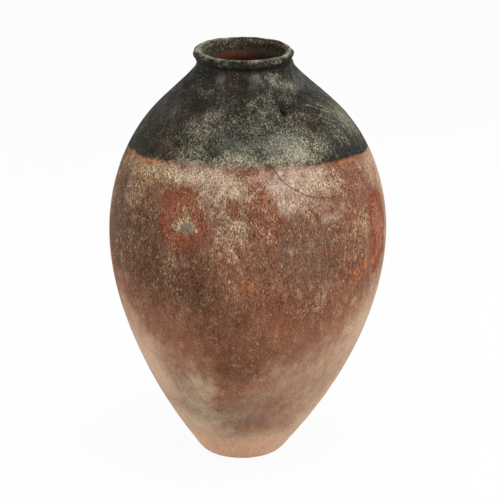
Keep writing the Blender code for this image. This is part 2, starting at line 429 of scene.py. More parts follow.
# Pale worn clay; the blots near 85 degrees to either side also paint the rim light along both limbs.
PALES = spots(
    (-66, 128, 34, 44, 0.85), (-56, 90, 26, 34, 0.9), (-64, 38, 26, 22, 1.1),
    (80, 55, 34, 36, 1.0), (-40, 128, 22, 20, 0.2), (-25, 98, 14, 20, 0.9),
    (4, 84, 18, 16, 0.3), (52, 112, 46, 40, 0.65), (24, 108, 26, 26, 0.5),
    (70, 150, 40, 36, 0.9), (85, 215, 22, 60, 0.95), (86, 290, 14, 26, 0.9),
    (-88, 205, 12, 26, 0.7), (72, 36, 20, 16, 0.8), (40, 62, 30, 24, 0.6),
    (-40, 42, 26, 14, 0.7), (0, 24, 60, 16, 0.8), (72, 296, 16, 14, 0.6),
    (110, 80, 50, 40, 0.7), (-115, 90, 50, 44, 0.7), (170, 60, 50, 30, 0.7),
)
SMUDGES = spots(
    (-27, 108, 13, 20, 0.35), (-35, 88, 22, 26, 0.55), (-30, 64, 20, 16, 0.9),
    (-24, 47, 18, 8, 0.95), (-40, 46, 8, 4, 0.6), (-4, 62, 16, 12, 0.5),
    (140, 55, 22, 14, 0.7),
)
HAZES = spots(
    (14, 303, 16, 11, 1.0), (24, 294, 22, 14, 0.5), (36, 298, 18, 12, 0.25),
    (-10, 306, 17, 12, 1.0), (28, 309, 21, 8, 1.0), (15, 281, 14, 11, 0.6),
    (38, 268, 14, 12, 0.6), (-31, 307, 26, 10, 1.1), (-130, 285, 30, 12, 0.5),
)
# Painted sheen: soft reflections of the lamps on the burnished neck and shoulder, painted slate grey.
PAINTED_SHEENS = spots(
    (22, 333, 24, 13, 1.2), (-8, 332, 24, 14, 0.8), (70, 372, 30, 14, 0.8),
    (13, 382, 8, 6, 1.1), (-25, 382, 9, 6, 1.3), (-64, 352, 40, 20, 0.5),
    (130, 350, 40, 20, 0.7), (-150, 325, 40, 15, 0.6),
)
THIN_SOOT = spots(
    (-14, 374, 10, 9, 0.6), (-8, 382, 6, 5, 0.5), (-36, 352, 22, 10, 0.6),
    (40, 342, 24, 14, 0.6), (-46, 322, 26, 10, 0.7), (-56, 340, 26, 18, 0.4),
    (100, 325, 30, 10, 0.5),
)

# Round pits where the skin popped off, the silt that clings about them and the halos that the fire left.
SPALLS = spots((-26, 260, 8.5, 8.5, 1.0), (69.5, 240, 3.0, 3.0, 1.0))
SPALL_TAILS = spots(
    (-26, 260, 8.0, 7.0, 0.8), (-26.5, 271, 4.5, 9.0, 0.65), (68, 258, 5.0, 9.0, 0.25),
)
HALOS = spots((-28, 267, 34, 41, 0.75), (69.5, 240, 29, 51, 1.3))

# Lines, each a run of azimuths and heights.
CRACK = (
    (11, 318), (13.5, 311.5), (16.3, 305), (19.3, 299),
    (22.7, 294), (26.7, 289.5), (31.5, 286), (40, 282.5),
)
SCRATCHES = (
    ((51, 358), (63, 350.5), (73, 340), (83, 327)),
    ((61, 355.5), (73, 346.5), (82, 334.5), (85, 322)),
    ((51, 351.5), (60, 345), (69, 335.5), (73, 326), (72, 316)),
    ((55, 344), (61, 337), (65, 327.5), (64, 318)),
    ((70, 352), (79, 343.5), (84, 332), (86, 318)),
    ((56, 335), (58, 327), (58, 319)),
)

# Damage with sharp edges.
SHOULDER_CHIP = spots((28, 357.3, 2.2, 3.4, 1.6), (27, 361.5, 1.0, 3.5, 0.8))
RIM_NICKS = spots(
    (104, 396, 5, 4, 0.8), (58, 398, 7, 4, 0.45), (-70, 399, 6, 4, 0.4),
    (-8, 397, 6, 3, 0.4),
)

# Where roots and salts left threads, the black edge is blurred and an orange line runs under it.
WEBS = spots(
    (-2, 264, 18, 18, 1.0), (2, 236, 26, 18, 0.45), (-9, 294, 26, 12, 0.75),
    (-7, 284, 14, 16, 0.8), (26, 288, 30, 22, 0.7), (38, 298, 24, 14, 0.7),
    (52, 250, 22, 28, 0.45), (-62, 270, 30, 22, 0.5), (30, 206, 18, 12, 0.5),
    (-20, 226, 16, 20, 0.4), (130, 260, 50, 30, 0.8), (-140, 250, 50, 30, 0.8),
)
BLURRED_EDGE = spots(
    (-12, 314, 50, 60, 1.0), (18, 316, 34, 60, 0.8), (170, 293, 60, 60, 0.8),
)
EMBER_LINE = spots(
    (-58, 309, 34, 12, 1.0), (-5, 314, 16, 12, 0.5), (32, 313, 24, 12, 0.3),
    (58, 309, 30, 12, 0.7), (120, 300, 60, 12, 0.8), (-130, 298, 60, 12, 0.7),
)

# How a blot fades: the rate of its bell curve, and the most that blots add up to.
BLOT_FALL = 0.8
BLOT_LIMIT = 1.2

# How far each kind of mark follows the skin's stray: fully for clouds, little for sharp marks.
CLOUD_STRAY = 1.0
HALO_STRAY = 0.9
EMBER_LINE_STRAY = 0.5
EMBER_STRAY = 0.3
NICK_STRAY = 0.3
SPALL_STRAY = 0.25
CHIP_STRAY = 0.2
LINE_STRAY = 0.12

# The hand-made wall: how it eases in above the foot, and what is left of its wobble at both sides.
# Burnishing strokes are ripples drawn out upwards.
FOOT_EASE = 1.4
UNEVEN = (2 * MM, 20 * MM)
SIDE_WOBBLE = 0.35
STROKE_SQUEEZE = (1.0, 1.0, 0.12)
PIT_SLOPE = 0.5
CHIP_STEEPNESS = 1.3
CRACK_HALF_WIDTH = 0.9 * MM
CRACK_LIMIT = 50.0
SCRATCH_HALF_WIDTH = 0.6 * MM

# The edge of the black: its height in mm, its tilt to the front and to the right, and its softness.
BLACK_EDGE_MEAN = 305.5
BLACK_EDGE_TILT = 10.3
BLACK_EDGE_SKEW = -0.5
CRISP_EDGE = 1.0 * MM
BLUR = 6.0 * MM
EDGE_LIMIT = 30.0
EMBER_DROP = 2.6 * MM
EMBER_HALF_HEIGHT = 1.6 * MM
EMBER_LINE_GLOW = 1.5

# Heights over which the foot is rubbed and worn, the silt sets in and the skin is weathered.
RUBBED = (4 * MM, 44 * MM)
WORN = (18 * MM, 60 * MM)
DUSTY = (120 * MM, 235 * MM)
WEATHERED = (120 * MM, 220 * MM)
WORN_FOOT = 0.5
FOOT_DUST = 0.02
UPPER_DUST = 0.14
DUST_DRIFT = 0.22
SHOULDER_DRIFT = 0.2
WEB_SHARE = 0.75
WEB_DRIFT = 0.8

# The rings round a spall, by their reach.
FRESH_END = (0.45, 1.0)
RING_START = (0.5, 0.8)
RING_END = (1.0, 1.35)
SCORCH_REACH = 0.66
SCORCH_SPREAD = 0.2
PURPLE_RING = 0.45

# The rim: painted shade in the crease under its bead, its bead, and the wear and painted highlight on it.
# A turn is a span of the normal's outward part, and a rise one of its upward part.
# Where shade is painted in the crease under the bead: its height in mm, its half height and the least
# outward part of the normal.
GROOVE_HEIGHT = 391.2
GROOVE_HALF_HEIGHT = 2.2 * MM
GROOVE_TURN = -0.5
LIP_TURN = (0.1, 0.8)
BEAD_START = 3.0 * MM
BEAD_EDGE = (392 * MM, 395 * MM)
FULLER_LEFT = 0.9 * MM
FULLER_TURN = (-0.2, 0.8)
NICK_DEPTH = 1.1 * MM
CROWN_TILT = 0.1
CROWN_SPREAD = 0.65
CROWN_RISE = (0.2, 0.9)
FACE_WEAR = 0.22
FACE_TURN = (0.3, 0.9)
LEFT_WEAR = 0.2
PATCH_RISE = (-0.1, 0.4)

# The red patch inside the neck, whose half width is in degrees.
INNER_RED = Blot(196, 379, 40, 9, 1.3)


class Skin:
    """The grid of one piece's outer skin: where each of its points is, on the jar and in space."""

    def __init__(self, points, normals, form):
        self.points = points
        self.normals = normals
        self.radius = points[:, :1] + 0 * AZIMUTH
        self.height = points[:, 1:] + 0 * AZIMUTH
        self.azimuth = AZIMUTH + 0 * self.radius
        self.up = OUTSIDE.distance_at(self.height)
        self.place = turned(self.radius, self.height, form)
        self.stray_around = MM * ripples(self.place, STRAY_AROUND_MM)
        self.stray_up = MM * ripples(self.place, STRAY_UP_MM)

    def offset(self, azimuth, height, stray):
        """How far each point lies to the right of a place and above it, along the skin, in metres."""
        around = turn_from(azimuth, self.azimuth) * self.radius + stray * self.stray_around
        above = self.up - OUTSIDE.distance_at(height * MM) + stray * self.stray_up
        return around, above

    def reach(self, blot, stray):
        """Distance of each point from the middle of a blot, as a share of its half sizes."""
        around, above = self.offset(blot.azimuth, blot.height, stray)
        return np.hypot(around / (blot.half_width * MM), above / (blot.half_height * MM))

    def blots(self, blots, stray=CLOUD_STRAY):
        """Sum of soft spots, each a bell curve of its reach, with a strayed outline."""
        total = np.zeros_like(self.radius)
        for blot in blots:
            total += blot.strength * np.exp(-BLOT_FALL * self.reach(blot, stray) ** 2)
        return np.clip(total, 0.0, BLOT_LIMIT)

    def line_offset(self, line):
        """Signed distance to a line drawn on the skin: the offset from the nearest of its straight runs."""
        nearest = np.full_like(self.radius, np.inf)
        signed = np.ones_like(self.radius)
        for start, end in zip(line, line[1:]):
            around, above = self.offset(*start, LINE_STRAY)
            run = math.radians(end[0] - start[0]) * self.radius
            rise = OUTSIDE.distance_at(end[1] * MM) - OUTSIDE.distance_at(start[1] * MM)
            length = np.hypot(run, rise)
            along = np.clip((around * run + above * rise) / length**2, 0.0, 1.0)
            miss = np.hypot(around - along * run, above - along * rise)
            side = np.sign(run * above - rise * around)
            closer = miss < nearest
            signed = np.where(closer, side * miss, signed)
            nearest = np.minimum(nearest, miss)
        return signed

    def spall_share(self):
        """1 in the middle of a spalled pit and 0 at its edge and beyond."""
        reaches = [self.reach(spall, SPALL_STRAY) for spall in SPALLS]
        return np.maximum(0.0, 1 - np.minimum.reduce(reaches))

    def halo_reach(self):
        """Reach from the nearest halo, and that halo's strength."""
        reaches = np.stack([self.reach(halo, HALO_STRAY) for halo in HALOS])
        strengths = np.array([halo.strength for halo in HALOS])
        return reaches.min(axis=0), strengths[reaches.argmin(axis=0)]


def turned(radius, height, form):
    """Points at a radius and height, turned to every azimuth and moved with the jar's uneven axis.

    The axis stands to the right at the belly and eases to the left towards the foot and the neck.
    """
    foot = form.foot_shift * np.exp(-(np.maximum(height, 0.0) / form.foot_reach) ** FOOT_EASE)
    neck = form.neck_shift * np.exp(-(JAR_HEIGHT - height) / form.neck_reach)
    shift = form.belly_shift - foot - neck
    return np.stack([radius * np.sin(AZIMUTH) + shift, -radius * np.cos(AZIMUTH), height], axis=-1)


def relief(skin, form):
    """How far the skin stands out from the turned shape.

    It is the slow wobble of the hand, less at both sides, and the upright strokes of the burnishing pebble,
    both gone at the foot's flat, less the pits, the chip and the crack.
    """
    lifted = smoothstep(*UNEVEN, skin.height)
    wobble_share = SIDE_WOBBLE + (1 - SIDE_WOBBLE) * np.cos(skin.azimuth) ** 2
    wobble = form.hand_wobble * wobble_share * ripples(skin.place, HAND_WAVES)
    strokes = MM * ripples(skin.place * STROKE_SQUEEZE, STROKE_WAVES_MM)
    pit = form.spall_depth * smoothstep(0.0, PIT_SLOPE, skin.spall_share())
    chip = form.chip_depth * np.minimum(1.0, CHIP_STEEPNESS * skin.blots(SHOULDER_CHIP, CHIP_STRAY))
    crack = form.crack_depth * bell(skin.line_offset(CRACK) / CRACK_HALF_WIDTH)
    return lifted * (wobble + strokes) - pit - chip - crack


def above_black_edge(skin):
    """How far each point lies above the edge of the black: a tilted circle that strays a little."""
    level = BLACK_EDGE_MEAN + BLACK_EDGE_TILT * np.cos(skin.azimuth)
    level = level + BLACK_EDGE_SKEW * np.sin(skin.azimuth)
    return skin.up - OUTSIDE.distance_at(level * MM) + MM * ripples(skin.place, BLACK_EDGE_STRAY_MM)


def black_edge_offset(skin):
    """How far each point lies above the edge of the black, over the edge's softness there.

    The edge is crisp at both sides and blurred at the front.
    """
    blurred = np.clip(skin.blots(BLURRED_EDGE, 0.0), 0.0, 1.0)
    softness = CRISP_EDGE + BLUR * blurred
    return np.clip(above_black_edge(skin) / softness, -EDGE_LIMIT, EDGE_LIMIT)


def ember_line(skin):
    """The orange line just under the edge of the black, where the fire stayed open: a bell of the drop."""
    drop = (above_black_edge(skin) + EMBER_DROP) / EMBER_HALF_HEIGHT
    return EMBER_LINE_GLOW * bell(drop) * skin.blots(EMBER_LINE, EMBER_LINE_STRAY)


def drift(skin):
    """Uneven settling of silt, from about -1 to 1: broad clouds with smaller ones in them."""
    return ripples(skin.place, DRIFT_WAVES)


def settled_dust(skin):
    """Silt left all over the body: hardly any low down, more from the belly up, drifted into clouds."""
    return FOOT_DUST + smoothstep(*DUSTY, skin.height) * (UPPER_DUST + DUST_DRIFT * drift(skin))


def scratches(skin):
    """1 along the scratches on the shoulder, falling off beside them as a bell curve."""
    return np.maximum.reduce([bell(skin.line_offset(line) / SCRATCH_HALF_WIDTH) for line in SCRATCHES])


def bead_wear_and_highlight(skin):
    """Wear and painted highlight on the bead, as a sum: most along its top, some on its outer face, patches,
    more at the left.
    """
    outward, upward = skin.normals[:, :1], skin.normals[:, 1:]
    # The lighter top is partly wear and partly painted highlight, where light falls on the bead's upper
    # face.
    crown = bell((outward - CROWN_TILT) / CROWN_SPREAD) * smoothstep(*CROWN_RISE, upward)
    face = FACE_WEAR * smoothstep(*FACE_TURN, outward)
    patches = ripples(skin.place, BEAD_PATCHES) + LEFT_WEAR * np.maximum(0.0, -np.sin(skin.azimuth))
    worn = crown + face + patches * smoothstep(*PATCH_RISE, upward)
    return smoothstep(*BEAD_EDGE, skin.height) * worn


def skin_masks(skin):
    """Where each finish, painted shade, painted sheen and painted highlight shows on the skin, as one number
    per point for the material to break up.

    Round a spall, reach runs from fresh red through a scorched ring to a purple-brown one.
    """
    reach, strength = skin.halo_reach()
    purple_ring = smoothstep(*RING_START, reach) * (1 - smoothstep(*RING_END, reach))
    foot_height = skin.height + MM * ripples(skin.place, FOOT_STRAY_MM)
    outward = skin.normals[:, :1]
    # Painted shade in the crease under the bead, on all but inward-facing faces.
    groove = bell((skin.height - GROOVE_HEIGHT * MM) / GROOVE_HALF_HEIGHT)
    return {
        "black_edge": black_edge_offset(skin),
        "dust": skin.blots(KHAKI_BAND + BELLY_DUST + SPALL_TAILS) + settled_dust(skin),
        "soot_dust": skin.blots(SHOULDER_DUST) + SHOULDER_DRIFT * drift(skin),
        "slate": skin.blots(PAINTED_SHEENS),
        "thin_soot": skin.blots(THIN_SOOT),
        "stain": skin.blots(STAINS),
        "mauve": skin.blots(MAUVES) + PURPLE_RING * purple_ring,
        "ochre": np.maximum(skin.blots(OCHRES), 1 - smoothstep(*FRESH_END, reach)),
        "scorch": strength * bell((reach - SCORCH_REACH) / SCORCH_SPREAD),
        "ember": skin.blots(EMBERS, EMBER_STRAY) + ember_line(skin),
        "pale": skin.blots(PALES) + WORN_FOOT * (1 - smoothstep(*WORN, skin.height)),
        "haze": skin.blots(HAZES),
        "smudge": skin.blots(SMUDGES),
        "foot": 1 - smoothstep(*RUBBED, foot_height),
        "spall": skin.spall_share(),
        "chip": skin.blots(SHOULDER_CHIP, CHIP_STRAY),
        "crack_mm": np.clip(skin.line_offset(CRACK) / MM, -CRACK_LIMIT, CRACK_LIMIT),
        "scratch": scratches(skin),
        "rim_wear": bead_wear_and_highlight(skin),
        "lip": smoothstep(*LIP_TURN, -outward) + 0 * AZIMUTH,
        "groove": groove * (outward > GROOVE_TURN),
        "web": skin.blots(WEBS) * np.clip(WEB_SHARE + WEB_DRIFT * drift(skin), 0.0, BLOT_LIMIT),
        "weathered": smoothstep(*WEATHERED, skin.height),
    }


def inside_masks(height):
    """Masks of the inner wall: how far each point is below the jar's top, and the red patch at the back."""
    around = turn_from(INNER_RED.azimuth, AZIMUTH) / math.radians(INNER_RED.half_width)
    above = (height / MM - INNER_RED.height) / INNER_RED.half_height
    return {
        "depth_mm": (JAR_HEIGHT - height) / MM,
        "inner_red": INNER_RED.strength * bell(around) * bell(above),
    }


def joined_masks(skin_values, inside_values):
    """Masks of a whole course, skin first: a mask of one side is zero on the other."""
    no_skin = np.zeros(skin_values["dust"].size)
    no_inside = np.zeros(inside_values["depth_mm"].size)
    joined = {name: np.concatenate([values.ravel(), no_inside]) for name, values in skin_values.items()}
    for name, values in inside_values.items():
        joined[name] = np.concatenate([no_skin, values.ravel()])
    return joined


def grid_faces(rows, poles):
    """Corners of the quads and triangles between the rows of a grid that runs round the jar.

    Without poles, the last row is joined to the first. A grid with poles starts and ends in a single point,
    and its first and last rows of faces are fans of triangles.
    """
    column = np.arange(COLUMNS)
    following = (column + 1) % COLUMNS
    first = 1 if poles else 0
    row = first + COLUMNS * np.arange(rows - first)[:, None]
    above = row + COLUMNS if poles else (row + COLUMNS) % (rows * COLUMNS)
    quads = np.stack([row + column, row + following, above + following, above + column], axis=-1)
    quads = quads.reshape(-1, 4)
    if not poles:
        return quads, np.empty((0, 3), int)
    last = first + rows * COLUMNS
    top = last - COLUMNS
    start_fan = np.column_stack([0 * column, first + following, first + column])
    end_fan = np.column_stack([top + column, top + following, last + 0 * column])
    return quads, np.vstack([start_fan, end_fan])


def mesh_from_grid(name, places, quads, triangles, face_materials, masks):
    """A mesh of a grid's points and faces, smooth but for its sharp corners, with masks as attributes."""
    mesh = bpy.data.meshes.new(name)
    mesh.from_pydata(places, [], quads.tolist() + triangles.tolist())
    mesh.polygons.foreach_set("material_index", face_materials.astype(np.int32))
    mesh.validate()
    for mask, values in masks.items():
        attribute = mesh.attributes.new(mask, "FLOAT", "POINT")
        attribute.data.foreach_set("value", values.astype(np.float32).ravel())
    mesh.shade_smooth()
    mesh.set_sharp_from_angle(angle=SHARP_ANGLE)
    return mesh


def add_piece(context, name, *grid):
    """Puts a piece into the scene in place of its CAD course, with the jar's materials."""
    mesh = mesh_from_grid(name + "_skin", *grid)
    for material in jar_materials():
        mesh.materials.append(material)
    piece = bpy.data.objects.new(name + "_skin", mesh)
    context.scene.collection.objects.link(piece)
    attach(piece, "root")
    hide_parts(name)


def raised(skin, lift, form):
    """Places of a skin's points, lifted along the outline's normals and turned about the uneven axis."""
    radius = skin.points[:, :1] + skin.normals[:, :1] * lift
    height = skin.points[:, 1:] + skin.normals[:, 1:] * lift
    return turned(radius, height, form).reshape(-1, 3)


def add_course(context, name, skin, inner_points, pole_heights=()):
    """Joins a course's skin to its inside, down from the top, as one closed grid with beds between them.

    Instead of a lower bed, the base pad has a pole in the middle of its underside and one in its bowl.
    """
    form = context.scene.jar_form
    inner_height = inner_points[:, 1:] + 0 * AZIMUTH
    inner_places = turned(inner_points[:, :1] + 0 * AZIMUTH, inner_height, form).reshape(-1, 3)
    places = np.concatenate([raised(skin, relief(skin, form), form), inner_places])
    masks = joined_masks(skin_masks(skin), inside_masks(inner_height))
    row_materials = np.repeat([SKIN, INSIDE], [len(skin.points), len(inner_points)])
    row_materials[[len(skin.points) - 1, -1]] = BED
    face_materials = np.repeat(row_materials, COLUMNS)
    if pole_heights:
        height = np.reshape(pole_heights, (2, 1)) + 0 * AZIMUTH
        underside, bowl = turned(0 * height, height, form)[:, :1]
        places = np.concatenate([underside, places, bowl])
        masks = {mask: np.concatenate([value[:1], value, value[-1:]]) for mask, value in masks.items()}
        fan_materials = np.repeat([SKIN, INSIDE], COLUMNS)
        face_materials = np.concatenate([face_materials[:-COLUMNS], fan_materials])
    quads, triangles = grid_faces(len(row_materials), bool(pole_heights))
    add_piece(context, name, places, quads, triangles, face_materials, masks)


def build_courses(context, prefix):
    """Ring courses whose names start with a prefix, each between its joints outside and inside."""
    for number, name in enumerate(COURSES):
        if not name.startswith(prefix):
            continue
        low, high = OUTSIDE.distance_at(OUTER_JOINTS[number - 1 : number + 1])
        skin = Skin(*OUTSIDE.rows(low, high, SKIN_STEP), context.scene.jar_form)
        low, high = WITHIN.distance_at(INNER_JOINTS[number - 1 : number + 1])
        inner_points, _ = WITHIN.rows(high, low, INSIDE_STEP)
        add_course(context, name, skin, inner_points)


def build_base_pad(context):
    """The base pad: out from the middle of the underside, up the skin, across the bed and down the bowl."""
    under = np.linspace(0.0, OUTSIDE.points[0, 0], UNDERSIDE_ROWS + 1)[1:-1, None]
    wall_points, wall_normals = OUTSIDE.rows(0.0, OUTSIDE.distance_at(OUTER_JOINTS[0]), SKIN_STEP)
    points = np.vstack([under * [1.0, 0.0], wall_points])
    normals = np.vstack([0 * under + [0.0, -1.0], wall_normals])
    skin = Skin(points, normals, context.scene.jar_form)
    inner_points, _ = WITHIN.rows(WITHIN.distance_at(INNER_JOINTS[0]), 0.0, INSIDE_STEP)
    add_course(context, BASE_PAD, skin, inner_points[:-1], pole_heights=(0.0, inner_points[-1, 1]))


def build_rim(context):
    """The rolled rim: from its outer bed over the bead to its inner bed, uneven round the jar and nicked.

    Its foot follows the wobble of the collar below it.
    """
    form = context.scene.jar_form
    outline = rim_outline()
    skin = Skin(*outline.rows(0.0, outline.distance[-1], RIM_STEP), form)
    on_bead = smoothstep(0.0, BEAD_START, skin.height - skin.height.min())
    fuller_left = FULLER_LEFT * -np.sin(skin.azimuth) * smoothstep(*FULLER_TURN, skin.normals[:, :1])
    lumps = form.rim_wobble * ripples(skin.place, RIM_LUMPS)
    nicks = NICK_DEPTH * skin.blots(RIM_NICKS, NICK_STRAY)
    lift = on_bead * (fuller_left + lumps - nicks) + (1 - on_bead) * relief(skin, form)
    row_materials = np.full(len(skin.points), SKIN)
    row_materials[-1] = BED
    masks = skin_masks(skin)
    masks["depth_mm"] = masks["inner_red"] = np.zeros_like(skin.radius)
    faces = grid_faces(len(skin.points), poles=False)
    add_piece(context, RIM_ROLL, raised(skin, lift, form), *faces, np.repeat(row_materials, COLUMNS), masks)


def add_node(tree, kind, out, sockets=None, **settings):
    """Adds a shader node with its settings and gives one of its outputs.

    Its sockets, named by identifier, are filled with a value or linked to another node's output.
    """
    node = tree.nodes.new("ShaderNode" + kind)
    for name, value in settings.items():
        setattr(node, name, value)
    inputs = {socket.identifier: socket for socket in node.inputs}
    for name, value in (sockets or {}).items():
        if isinstance(value, bpy.types.NodeSocket):
            tree.links.new(value, inputs[name])
        else:
            inputs[name].default_value = value
    outputs = {socket.identifier: socket for socket in node.outputs}
    return outputs.get(out)


def new_material(name):
    """A node material with an empty tree."""
    material = bpy.data.materials.new(name)
    material.use_nodes = True
    material.node_tree.nodes.clear()
    return material


Layer = namedtuple("Layer", "colour mask pattern breakup low high opacity")


def lay(tree, under, over, mask, pattern, layer):
    """Lays a colour over another where a mask, broken up by a noise pattern, rises from low to high.

    The pattern is centred on zero and scaled by the layer's breakup before it is added to the mask.
    A negative breakup turns it over.
    """
    centred = {"Value": pattern, "Value_001": layer.breakup, "Value_002": -layer.breakup / 2}
    offset = add_node(tree, "Math", "Value", centred, operation="MULTIPLY_ADD")
    broken = add_node(tree, "Math", "Value", {"Value": mask, "Value_001": offset})
    rise = {"Value": broken, "From Min": layer.low, "From Max": layer.high, "To Max": layer.opacity}
    amount = add_node(tree, "MapRange", "Result", rise, interpolation_type="SMOOTHSTEP")
    colours = {"Factor_Float": amount, "A_Color": under, "B_Color": over}
    return add_node(tree, "Mix", "Result_Color", colours, data_type="RGBA")


def lay_all(tree, under, layers, rgba, patterns):
    """Lays each of the layers over the last. A mask is a pattern of that name, or else an attribute."""
    for layer in layers:
        mask = patterns.get(layer.mask)
        if mask is None:
            mask = add_node(tree, "Attribute", "Fac", attribute_name=layer.mask)
        under = lay(tree, under, rgba[layer.colour], mask, patterns[layer.pattern], layer)
    return under


Pattern = namedtuple("Pattern", "size_mm detail roughness distortion upright")

# Noise patterns, on Object coordinates. Upright is how many times as tall as wide the features are.
# Real silt grains are a tenth of a millimetre: grain, fleck and speck are drawn coarser, as clumps of them.
PATTERNS = {
    "cloud": Pattern(55.0, 3.0, 0.6, 0.0, 1.0),
    "mottle": Pattern(13.0, 4.0, 0.6, 0.0, 1.0),
    "stroke": Pattern(11.0, 5.0, 0.7, 0.0, 2.5),
    "silt": Pattern(9.0, 5.0, 0.85, 0.0, 1.3),
    "blotch": Pattern(5.0, 3.0, 0.6, 0.0, 1.0),
    "ridge": Pattern(4.0, 3.0, 0.6, 0.6, 1.5),
    "hair": Pattern(2.6, 1.0, 0.5, 0.8, 2.5),
    "streak": Pattern(3.0, 3.0, 0.6, 0.0, 14.0),
    "grain": Pattern(1.4, 2.0, 0.7, 0.6, 1.8),
    "fleck": Pattern(1.35, 2.0, 0.7, 0.6, 1.3),
    "speck": Pattern(1.0, 1.0, 0.6, 0.5, 2.6),
}

# Patterns drawn as threads along the middle level of their noise, and how far from it a thread reaches.
THREADS = ("ridge", "hair")
THREAD_HALF_WIDTH = 0.09
MIDDLE_LEVEL = 0.5

RED_LAYERS = (
    Layer("slip_light", "stroke", "fleck", 0.3, 0.5, 0.72, 0.75),
    Layer("slip_maroon", "stroke", "fleck", 0.3, 0.48, 0.28, 0.75),
    Layer("stain", "stain", "mottle", 0.7, 0.1, 0.9, 0.85),
    Layer("mauve", "mauve", "stroke", 0.8, 0.1, 1.2, 0.8),
    # Pale worn clay, and painted rim light along the limbs.
    Layer("pale", "pale", "silt", 1.2, 0.0, 1.5, 0.85),
    Layer("ochre", "ochre", "silt", 2.4, 0.1, 1.7, 0.85),
    Layer("scorch", "scorch", "silt", 2.6, 0.2, 1.3, 0.9),
    Layer("smudge", "smudge", "silt", 1.4, 0.0, 1.6, 0.7),
    Layer("foot", "foot", "silt", 0.7, 0.1, 1.0, 1.0),
    Layer("haze", "haze", "silt", 1.8, 0.0, 1.6, 0.85),
    Layer("dust", "dust", "silt", 3.4, 0.25, 2.0, 0.36),
    Layer("web", "web", "silt", 1.6, 0.2, 2.2, 0.4),
    Layer("web", "web", "ridge", 1.2, 0.75, 1.3, 0.6),
    Layer("web", "web", "hair", 1.4, 0.6, 1.3, 0.6),
    Layer("dust", "dust", "hair", 1.4, 0.7, 1.4, 0.35),
    Layer("dust", "dust", "grain", 5.0, 0.65, 1.5, 0.9),
    Layer("stain", "dust", "speck", -5.0, 0.9, 1.5, 0.7),
    Layer("spalled", "spall", "fleck", 1.4, 0.0, 0.5, 1.0),
    Layer("ember", "ember", "grain", 3.4, 0.6, 1.3, 1.0),
)
BLACK_LAYERS = (
    # Painted sheen on the burnished black.
    Layer("sheen_grey", "slate", "silt", 2.0, 0.1, 1.6, 0.8),
    Layer("soot_brown", "thin_soot", "mottle", 0.8, 0.2, 1.0, 1.0),
    Layer("soot_dust", "soot_dust", "silt", 1.8, 0.0, 2.2, 0.45),
    Layer("soot_dust", "soot_dust", "fleck", 6.0, 0.8, 1.7, 0.95),
    Layer("soot_dust", "soot_dust", "hair", 1.4, 0.5, 1.3, 0.5),
    Layer("soot_dust", "scratch", "fleck", 3.0, 0.4, 1.2, 0.8),
    Layer("mouth", "lip", "silt", 1.6, 0.2, 1.2, 0.8),
    Layer("soot_dust", "lip", "fleck", 5.0, 1.2, 1.8, 0.75),
    # Wear on the rim's bead, with painted highlight along its top.
    Layer("soot_dust", "rim_wear", "silt", 3.2, 0.4, 1.8, 0.7),
    Layer("soot_dust", "rim_wear", "fleck", 4.4, 0.85, 1.6, 0.85),
    # Painted shade in the crease under the rim's bead.
    Layer("groove", "groove", "fleck", 0.9, 0.1, 0.9, 0.85),
)
INSIDE_LAYERS = (
    Layer("inside", "depth_mm", "blotch", 40.0, 40.0, 90.0, 1.0),
    Layer("inside", "inner_red", "blotch", 0.8, 0.3, 0.9, 0.9),
    Layer("soot_brown", "silt", "fleck", 0.6, 0.45, 0.66, 0.75),
    Layer("soot_dust", "fleck", "silt", 0.6, 0.56, 0.74, 0.6),
)

# The finishes that lie across the red and the black, and painted shade in the chip's hollow.
SKIN_LAYERS = (
    Layer("black", "black_edge", "blotch", 2.2, -1.0, 1.0, 1.0),
    Layer("stain", "crack", "fleck", 0.8, 1.1, 0.2, 0.7),
    # Painted shade in the chip's hollow.
    Layer("groove", "chip", "fleck", 0.5, 0.5, 0.8, 1.0),
)

# The burnish: how far each pattern, between two of its levels, makes the colour darker and lighter,
# what is left of that low down, how much weathering dulls the sheen and how deep the strokes look.
Tone = namedtuple("Tone", "pattern low high darkest lightest")
BURNISH = (
    Tone("streak", 0.3, 0.7, 0.84, 1.16),
    Tone("speck", 0.32, 0.68, 0.56, 1.26),
    Tone("hair", 0.0, 1.0, 0.9, 1.36),
)
LOW_BURNISH = 0.3
DULLING = 0.5
BURNISH_RELIEF = 0.25 * MM


def noise_patterns(tree, names):
    """Sockets of noise patterns, by name. A thread is 1 at its noise's middle level and 0 away from it."""
    place = add_node(tree, "TexCoord", "Object")
    patterns = {}
    for name in names:
        pattern = PATTERNS[name]
        rate = 1.0 / (pattern.size_mm * MM)
        scaled = {"Vector": place, "Scale": (rate, rate, rate / pattern.upright)}
        noise = {
            "Vector": add_node(tree, "Mapping", "Vector", scaled),
            "Scale": 1.0,
            "Detail": pattern.detail,
            "Roughness": pattern.roughness,
            "Distortion": pattern.distortion,
        }
        level = add_node(tree, "TexNoise", "Fac", noise)
        if name in THREADS:
            off = {"Value": level, "Value_001": MIDDLE_LEVEL}
            off = add_node(tree, "Math", "Value", off, operation="SUBTRACT")
            off = add_node(tree, "Math", "Value", {"Value": off}, operation="ABSOLUTE")
            thread = {"Value": off, "From Min": THREAD_HALF_WIDTH, "From Max": 0.0}
            level = add_node(tree, "MapRange", "Result", thread)
        patterns[name] = level
    return patterns


